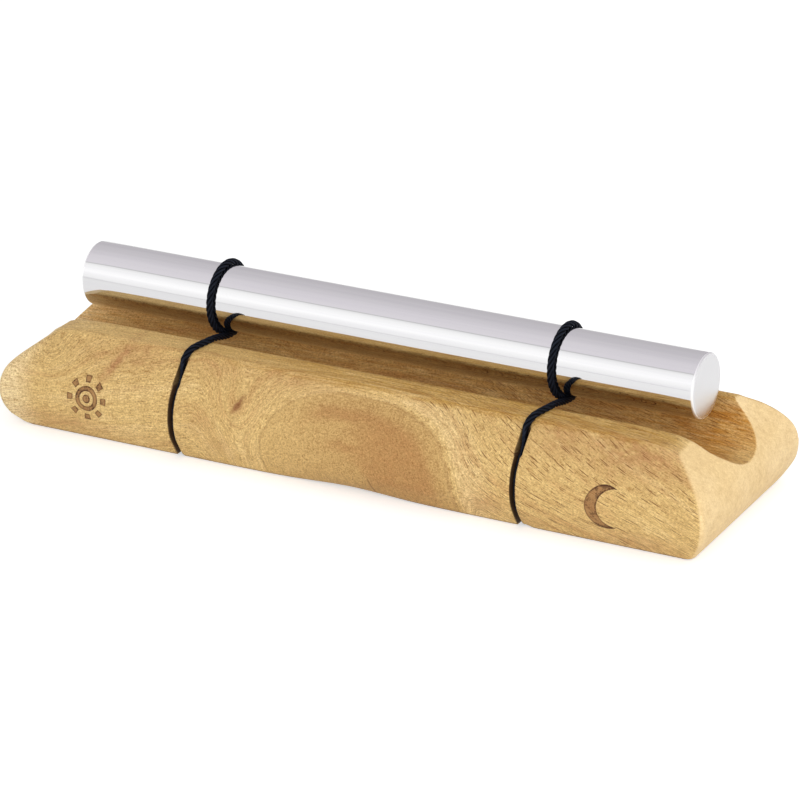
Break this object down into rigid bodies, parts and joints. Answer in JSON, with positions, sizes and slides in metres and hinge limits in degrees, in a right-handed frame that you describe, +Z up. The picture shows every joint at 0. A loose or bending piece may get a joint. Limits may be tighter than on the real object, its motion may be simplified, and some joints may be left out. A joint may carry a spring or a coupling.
{
  "type": "chime bar",
  "caption": "Solid metal rod hung level in two cord loops over a grooved hardwood block, struck to give one long clear tone.",
  "frame": {"origin": "middle of the flat underside of the base", "axes": "+X along the rod, -Y towards the player, +Z up"},
  "size_m": [0.238, 0.0694, 0.0528],
  "materials": {
    "wood": "sanded and lightly oiled",
    "metal": "polished",
    "cord": "twisted, slightly shiny"
  },
  "bodies": {
    "base": {"wood_base": "wood", "left_cord_knot": "cord", "right_cord_knot": "cord"},
    "slings": {"left_cord": "cord", "right_cord": "cord"},
    "bar": {"chime_bar": "metal"}
  },
  "joints": [
    {"name": "bar_bounce", "type": "slide", "parent": "base", "child": "slings", "axis": [0, 0, 1], "range_m": [-0.002, 0.0015], "stiffness_N_per_m": 9000, "springref_m": 0.00019, "deforming": ["left_cord", "right_cord"]},
    {"name": "bar_turn", "type": "hinge", "parent": "slings", "child": "bar", "pos_m": [0, 0.002, 0.0406], "axis": [1, 0, 0], "continuous": true}
  ]
}
